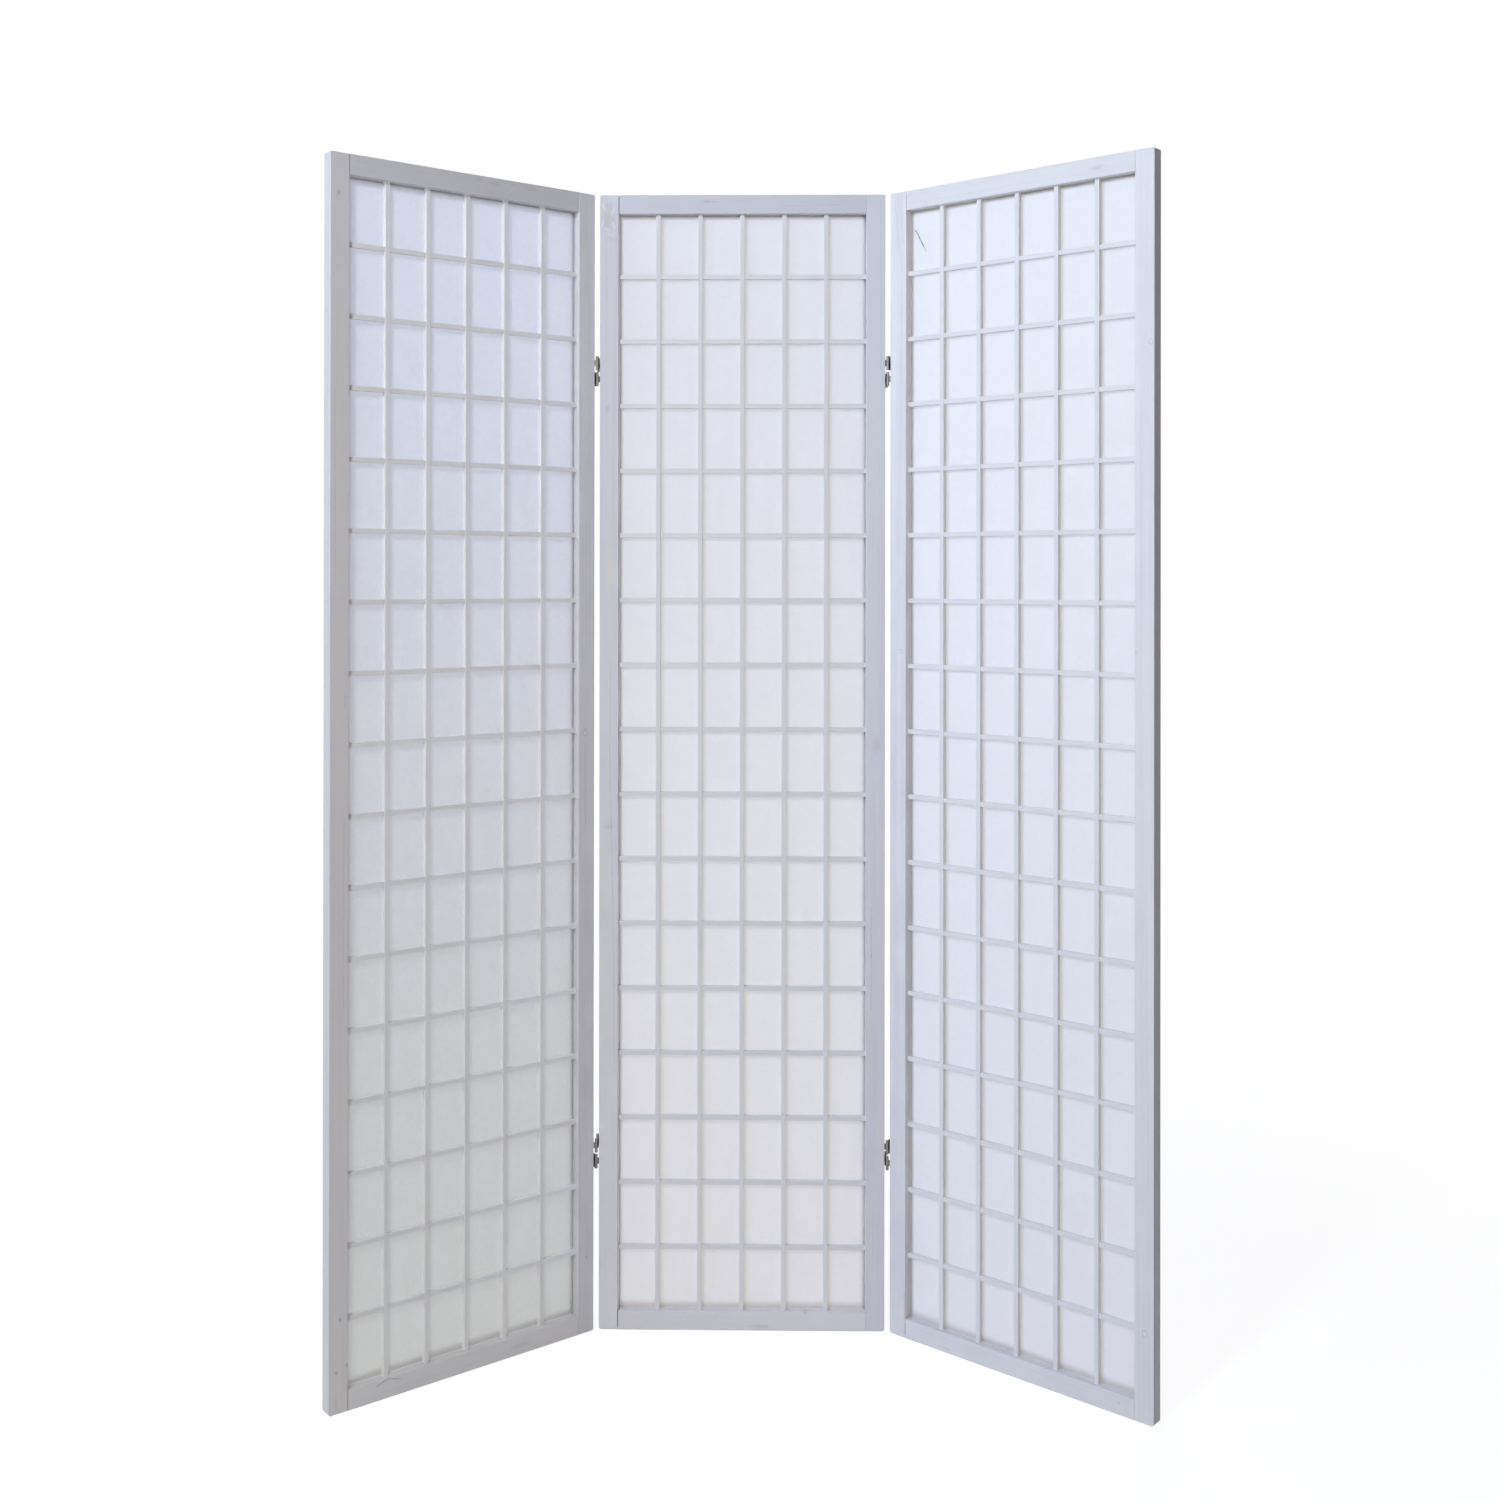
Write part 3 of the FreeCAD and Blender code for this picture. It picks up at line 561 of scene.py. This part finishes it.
def painted_wood(name, panel, across, seed, tones, marks=NO_MARKS, edge_share=0.5, through=0.0):
    """White paint over softwood, with a painted highlight on its edges. Tones are those of the piece's foot
    and head, or of its two ends, partly painted light and shade, and a share of the light let through the
    piece is painted light."""
    made, tree, output = material(name)
    place = panel_vector(tree, panel)
    vector = laid_across(tree, place) if across else place
    lines = use_group(tree, grain, vector, Seed=seed)
    edges = use_group(tree, edge_light, vector)
    end = add(tree, "ShaderNodeSeparateXYZ", {0: place}).outputs["X" if across else "Z"]
    reach = (-PANEL_WIDTH / 2, PANEL_WIDTH / 2) if across else (0.0, PANEL_HEIGHT)
    end = remap(tree, end, *reach)
    # Tones from foot to head: partly the paint's own, partly painted light and shade.
    colour = mix_colour(tree, end, toned(PAINT, tones[0]), toned(PAINT, tones[1]))
    dark, pale_and_highlight = toned(PAINT_DARK, tones[0]), toned(PAINT_PALE_AND_HIGHLIGHT, tones[1])
    warm = maths(tree, "MULTIPLY", lines["Age"], GRAIN_SHOWS["Age"])
    colour = mix_colour(tree, warm, colour, toned(WARM, tones[0]))
    cool = maths(tree, "MULTIPLY", maths(tree, "SUBTRACT", 1.0, lines["Age"]), GRAIN_SHOWS["Age"])
    colour = mix_colour(tree, cool, colour, toned(COOL, tones[1]))
    for effect, shade in (("Streaks", dark), ("Patches", pale_and_highlight), ("Fibres", dark)):
        colour = mix_colour(tree, maths(tree, "MULTIPLY", lines[effect], GRAIN_SHOWS[effect]), colour, shade)
    height = maths(tree, "MULTIPLY", lines["Fibres"], 0.5)
    height = maths(tree, "MULTIPLY_ADD", lines["Streaks"], -0.5, height)
    colour, height = add_marks(tree, place, colour, height, *marks)
    # Painted highlight on the edges.
    colour = mix_colour(tree, maths(tree, "MULTIPLY", edges["Edge"], edge_share), colour, pale_and_highlight)
    bump = add(tree, "ShaderNodeBump", {"Height": height, "Strength": 0.35, "Distance": 0.0004})
    shine = remap(tree, lines["Fibres"], 0.0, 1.0, *PAINT_SHINE)
    inputs = {"Base Color": colour, "Roughness": shine, "Normal": bump.outputs[0], "Specular IOR Level": 0.35}
    skin = add(tree, "ShaderNodeBsdfPrincipled", inputs)
    # Light let through the piece is painted light: it lifts the shadow the piece would cast behind it.
    if through:
        glow = add(tree, "ShaderNodeBsdfTranslucent", {"Color": colour})
        skin = add(tree, "ShaderNodeMixShader", {0: through, 1: skin.outputs[0], 2: glow.outputs[0]})
    tree.links.new(skin.outputs[0], output.inputs["Surface"])
    return made


# %% Every wooden piece gets its finish
# Stiles and rails have one each, the bars of a panel share one for each way they run, and the battens
# share one, paler and letting most of the light through: painted light, so that no dark band shows at the
# paper's rim.
# How much of the painted edge highlight shows on the bars.
LATTICE_HIGHLIGHT_SHARE = 0.2
# Battens: paler tones and light let through, painted light that takes away their shadow band.
BATTEN_GLOW_TONES = ((1.27, 1.25, 1.20), (1.27, 1.25, 1.20))
BATTEN_PAINTED_GLOW = 0.95
SEED_STEP = 1.7
finishes = {}
for number, (name, piece) in enumerate(nodes.items()):
    panel, _, rest = name.partition("_")
    if "hinge" in rest or rest == "paper":
        continue
    across = rest.startswith(("rail", "cross"))
    if rest.startswith(("stile", "rail")):
        finish, look = name + "_paint", {"tones": PIECE_TONES_AND_SHADE[name], "marks": MARKS[name]}
    elif rest == "battens":
        finish, look = rest, {"tones": BATTEN_GLOW_TONES, "through": BATTEN_PAINTED_GLOW}
    else:
        finish = panel + ("_bars_across" if across else "_bars_upright")
        look = {"tones": LATTICE_TONES_AND_SHADE[panel], "marks": MARKS.get(name, NO_MARKS)}
        look["edge_share"] = LATTICE_HIGHLIGHT_SHARE
    if finish not in finishes:
        finishes[finish] = painted_wood(finish, panel, across, SEED_STEP * number, **look)
    piece.data.materials.clear()
    piece.data.materials.append(finishes[finish])
print("painted finishes:", len(finishes))

# %% [markdown]
# ## Hinges and screws
# The hinges are pressed from nickel-plated steel, a dark olive-grey metal with a brushed sheen and a few
# duller stains. The pins are the same metal, and the screws are plain zinc-plated steel.

# %% Nickel-plated steel and zinc-plated screws
BRUSHING = (2600.0, 2600.0, 160.0)  # scratches in a metre
TARNISH = (150.0, 150.0, 110.0)     # stains in a metre
# colour of the painted highlight on the edges
STEEL_HIGHLIGHT = (0.50, 0.48, 0.45, 1.0)
NICKEL = ((0.23, 0.22, 0.20, 1.0), (0.15, 0.145, 0.13, 1.0), 0.34)  # colour, stained colour, roughness
ZINC = ((0.60, 0.61, 0.62, 1.0), (0.44, 0.44, 0.44, 1.0), 0.28)


def plated_steel(name, colour, dull, roughness):
    """Plated metal: fine brushing along Z, soft stains that dull it, and a painted highlight on its edges."""
    made, tree, output = material(name)
    place = add(tree, "ShaderNodeTexCoord").outputs["Object"]
    brushed = noise(tree, place, BRUSHING, 1.0)
    stains = remap(tree, noise(tree, place, TARNISH, 4.0, detail=4.0), 0.45, 0.75)
    edges = use_group(tree, edge_light, place, Width=0.0004)
    shade = mix_colour(tree, stains, colour, dull)
    # Painted highlight on the edges.
    shade = mix_colour(tree, maths(tree, "MULTIPLY", edges["Edge"], 0.4), shade, STEEL_HIGHLIGHT)
    shine = maths(tree, "MULTIPLY_ADD", brushed, 0.18, maths(tree, "MULTIPLY_ADD", stains, 0.15, roughness))
    bump = add(tree, "ShaderNodeBump", {"Height": brushed, "Strength": 0.15, "Distance": 0.00005})
    inputs = {"Base Color": shade, "Metallic": 1.0, "Roughness": shine, "Normal": bump.outputs[0]}
    skin = add(tree, "ShaderNodeBsdfPrincipled", inputs)
    tree.links.new(skin.outputs[0], output.inputs["Surface"])
    return made


nickel = plated_steel("nickel_plate", *NICKEL)
zinc = plated_steel("zinc_screws", *ZINC)
for name, piece in nodes.items():
    if "hinge" in name:
        piece.data.materials.clear()
        piece.data.materials.append(zinc if "screws" in name else nickel)

# %% [markdown]
# ## Paper
# Each panel has one sheet of fibrous white paper, glued to the back of the bars. Damp paste lets it
# stretch and dry, so between the bars it isn't quite flat. The sheet is a closed shell on a grid: the
# front and the back are the same surface, a paper's thickness apart, joined along the rim.

# %% The sheet as a surface
PAPER_CELLS = (6, 17)           # spaces between bars, across and up
STEPS_PER_CELL = 8
COCKLE = 0.00022                # how far the paper stands out of flat, in metres


def cockled(u, v, phase):
    """Depth of the paper at u cells across and v cells up: none on the bars, and between them a sum of
    three slanting waves times the product of two arches, sin(pi u) and sin(pi v)."""
    arch = np.abs(np.sin(np.pi * u) * np.sin(np.pi * v)) ** 0.7
    waves = np.sin(1.9 * u + 2.7 * v + phase) + np.sin(4.3 * u - 3.1 * v + 2 * phase)
    return COCKLE * arch * (waves + np.sin(2.2 * v - 5.7 * u + 3 * phase)) / 1.8


def paper_sheet(panel, phase):
    """A closed shell: a grid of (columns + 1) x (rows + 1) points for the front, the same for the back."""
    low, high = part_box("centre_paper")
    columns, rows = (n * STEPS_PER_CELL for n in PAPER_CELLS)
    u, v = np.meshgrid(np.linspace(0, PAPER_CELLS[0], columns + 1), np.linspace(0, PAPER_CELLS[1], rows + 1))
    x = low.x + (high.x - low.x) * u / PAPER_CELLS[0]
    z = low.z + (high.z - low.z) * v / PAPER_CELLS[1]
    depth = cockled(u, v, phase)
    front = np.column_stack([x.ravel(), (low.y + depth).ravel(), z.ravel()])
    back = np.column_stack([x.ravel(), (high.y + depth).ravel(), z.ravel()])
    index = np.arange(front.shape[0]).reshape(rows + 1, columns + 1)
    a, b, c, d = (part.ravel() for part in (index[:-1, :-1], index[:-1, 1:], index[1:, 1:], index[1:, :-1]))
    faces = np.column_stack([a, b, c, d])
    rim = np.concatenate([index[0, :-1], index[:-1, -1], index[-1, :0:-1], index[:0:-1, 0]])
    after = np.roll(rim, -1)
    behind = front.shape[0]
    edge = np.column_stack([rim, rim + behind, after + behind, after])
    shell = np.concatenate([faces, faces[:, ::-1] + behind, edge])
    mesh = bpy.data.meshes.new(panel + "_paper_sheet")
    mesh.from_pydata(in_place(np.concatenate([front, back]), panel).tolist(), [], shell.tolist())
    mesh.polygons.foreach_set("use_smooth", np.ones(len(shell), bool))
    mesh.update()
    piece = bpy.data.objects.new(panel + "_paper_sheet", mesh)
    scene.collection.objects.link(piece)
    return piece, (high.x - low.x, high.z - low.z)


# %% [markdown]
# Fibrous paper is cloudy when light comes through it, with long strands of bast here and there. The
# clouds are a coarse and a fine noise, and a strand is the line where another noise crosses one value,
# cut into lengths. The left sheet's clouds are stronger: the extra is painted shade of its wrinkles in
# grazing light. About a third of the light is reflected by the paper and the rest goes through, a little
# warmer than it came, so the material mixes a plain surface with a translucent one. Right of each upright
# and under the top rail the paper gets a painted cream shadow and lets more light through, which is
# painted light. A loose hair lies on the right sheet.

# %% Fibres in paper
# Bumps in a metre along each axis.
CLOUDS = (150.0, 150.0, 150.0)
FELT = (430.0, 430.0, 430.0)
STRANDS = (48.0, 48.0, 34.0)
STRAND_LENGTHS = (75.0, 75.0, 75.0)
SPECKS = (1300.0, 1300.0, 1300.0)
fibre, given, out = new_group(
    "paper_fibre",
    [("Vector", "Vector", None), ("Seed", "Float", 0.0)],
    ["Clouds", "Felt", "Strands", "Specks"],
)
clouds = noise(fibre, given["Vector"], CLOUDS, given["Seed"], detail=3.0, roughness=0.5)
fibre.links.new(remap(fibre, clouds, 0.30, 0.70), out["Clouds"])
felt = noise(fibre, given["Vector"], FELT, given["Seed"], detail=3.0, roughness=0.6)
fibre.links.new(remap(fibre, felt, 0.30, 0.70), out["Felt"])
line = noise(fibre, given["Vector"], STRANDS, given["Seed"], detail=1.5, roughness=0.4)
thin = maths(fibre, "ABSOLUTE", maths(fibre, "SUBTRACT", line, 0.5))
cut = remap(fibre, noise(fibre, given["Vector"], STRAND_LENGTHS, given["Seed"], detail=1.0), 0.52, 0.62)
fibre.links.new(maths(fibre, "MULTIPLY", remap(fibre, thin, 0.006, 0.0), cut), out["Strands"])
specks = noise(fibre, given["Vector"], SPECKS, given["Seed"], detail=2.0)
fibre.links.new(remap(fibre, specks, 0.35, 0.75), out["Specks"])

# %% White paper that glows
bar_low, bar_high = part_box("centre_upright_3")
HALF_BAR = (bar_high.x - bar_low.x) / 2
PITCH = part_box("centre_upright_4")[0].x - bar_low.x  # from one upright to the next
PAPER_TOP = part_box("centre_paper")[1].z
PAPER = (0.925, 0.925, 0.940, 1.0)
PAPER_CLOUD = (0.865, 0.865, 0.880, 1.0)
PAPER_STRAND = (0.78, 0.785, 0.80, 1.0)
PAPER_SHOWS = {"Clouds": 0.55, "Felt": 0.60, "Strands": 0.55}  # share of each effect on a cloudy sheet
SPECKS_SHOW = 0.30
# Strength of the clouds on each sheet; the left sheet's extra is painted shade of wrinkles in grazing light.
CLOUDS_WITH_WRINKLE_SHADE = {"centre": 0.45, "left": 0.85, "right": 0.45}
SHEET_LIGHT_AND_SHADE = {                 # painted light and shade: tone of each sheet at its foot and at its head, bluer at the head
    "centre": ((1.0, 0.99, 0.98), (0.95, 0.955, 0.965)),
    "left": ((0.94, 0.94, 0.91), (0.97, 0.985, 1.03)),
    "right": ((1.0, 1.0, 1.025), (1.01, 1.02, 1.04)),
}
PAPER_SHINE = (0.72, 0.86)      # roughness between the clouds and on them
THROUGH = 0.70                  # share of the light that goes through
THROUGH_TONE = (0.985, 0.98, 0.955, 1.0)
PAINTED_SHADE_TINT = (0.91, 0.895, 0.84)     # tone of the paper in the band of painted shadow
PAINTED_GLOW_SHARE = 0.92            # share of the light that goes through there, raised as painted light
SHADE_BAND_REACH = 0.008             # width of that band, in metres
HAIR = ((-182.0, 1692.0), (-163.0, 1658.0))  # its two ends, mm across and up
HAIR_COLOUR = (0.30, 0.28, 0.33, 1.0)
HAIR_SHARE, HAIR_WIDTH, HAIR_WOBBLE = 0.90, 0.0014, 0.02


def shade_band(tree, place):
    """1 in the band of painted shadow and light, right of an upright or at the top, and 0 away from there."""
    column = maths(tree, "FRACT", maths(tree, "DIVIDE", maths(tree, "ADD", place["X"], 10 * PITCH), PITCH))
    beside = remap(tree, maths(tree, "MULTIPLY", column, PITCH), HALF_BAR + SHADE_BAND_REACH, HALF_BAR)
    return maths(tree, "MAXIMUM", beside, remap(tree, place["Z"], PAPER_TOP - SHADE_BAND_REACH, PAPER_TOP))


def with_hair(tree, vector, colour):
    """The paper's colour with the hair laid over it."""
    ends = [(x / 1000, 0.0, z / 1000) for x, z in HAIR]
    hair = use_group(tree, shake, vector, Width=HAIR_WIDTH, Wobble=HAIR_WOBBLE, From=ends[0], To=ends[1])
    return mix_colour(tree, maths(tree, "MULTIPLY", hair["Line"], HAIR_SHARE), colour, HAIR_COLOUR)


def paper(name, panel, seed):
    """White paper with clouds, strands and specks, partly translucent."""
    made, tree, output = material(name)
    vector = panel_vector(tree, panel)
    mark = use_group(tree, fibre, vector, Seed=seed)
    # The left sheet's stronger clouds are painted shade of wrinkles in grazing light.
    shares = {effect: share * CLOUDS_WITH_WRINKLE_SHADE[panel] for effect, share in PAPER_SHOWS.items()}
    colour = mix_colour(tree, maths(tree, "MULTIPLY", mark["Clouds"], shares["Clouds"]), PAPER, PAPER_CLOUD)
    colour = mix_colour(tree, maths(tree, "MULTIPLY", mark["Felt"], shares["Felt"]), colour, PAPER_CLOUD)
    colour = mix_colour(tree, maths(tree, "MULTIPLY", mark["Specks"], SPECKS_SHOW), colour, PAPER_CLOUD)
    strands = maths(tree, "MULTIPLY", mark["Strands"], shares["Strands"])
    colour = mix_colour(tree, strands, colour, PAPER_STRAND)
    place = add(tree, "ShaderNodeSeparateXYZ", {0: vector}).outputs
    # Painted light and shade from the foot to the head of the sheet.
    foot, head = ([*tone, 1.0] for tone in SHEET_LIGHT_AND_SHADE[panel])
    tone = mix_colour(tree, remap(tree, place["Z"], 0.0, PANEL_HEIGHT), foot, head)
    colour = mix_colour(tree, 1.0, colour, tone, blend="MULTIPLY")
    # Painted shadow and light: in a band right of each upright and under the top rail, a cream tint and more
    # light let through.
    in_shade_band = shade_band(tree, place)
    through = maths(tree, "MULTIPLY_ADD", in_shade_band, PAINTED_GLOW_SHARE - THROUGH, THROUGH)
    shade_tinted = mix_colour(tree, 1.0, colour, [*PAINTED_SHADE_TINT, 1.0], blend="MULTIPLY")
    colour = mix_colour(tree, in_shade_band, colour, shade_tinted)
    if panel == "right":
        colour = with_hair(tree, vector, colour)
    height = maths(tree, "MULTIPLY_ADD", mark["Strands"], 0.8, mark["Felt"])
    bump = add(tree, "ShaderNodeBump", {"Height": height, "Strength": 0.25, "Distance": 0.0002})
    shine = remap(tree, mark["Clouds"], 0.0, 1.0, *PAPER_SHINE)
    inputs = {"Base Color": colour, "Roughness": shine, "Normal": bump.outputs[0], "Specular IOR Level": 0.2}
    skin = add(tree, "ShaderNodeBsdfPrincipled", inputs)
    inner = mix_colour(tree, 1.0, colour, THROUGH_TONE, blend="MULTIPLY")
    glow = add(tree, "ShaderNodeBsdfTranslucent", {"Color": inner, "Normal": bump.outputs[0]})
    both = add(tree, "ShaderNodeMixShader", {0: through, 1: skin.outputs[0], 2: glow.outputs[0]})
    tree.links.new(both.outputs[0], output.inputs["Surface"])
    return made


# %% One sheet on each panel
for number, panel in enumerate(PANELS):
    piece, flat = paper_sheet(panel, 0.7 + 2.3 * number)
    piece.data.materials.append(paper(panel + "_paper", panel, 11.0 + 3.7 * number))
    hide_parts(panel + "_paper")
    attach(piece, panel + "_panel")
    print(piece.name, "faces", len(piece.data.polygons), "flat", [round(side, 4) for side in flat])
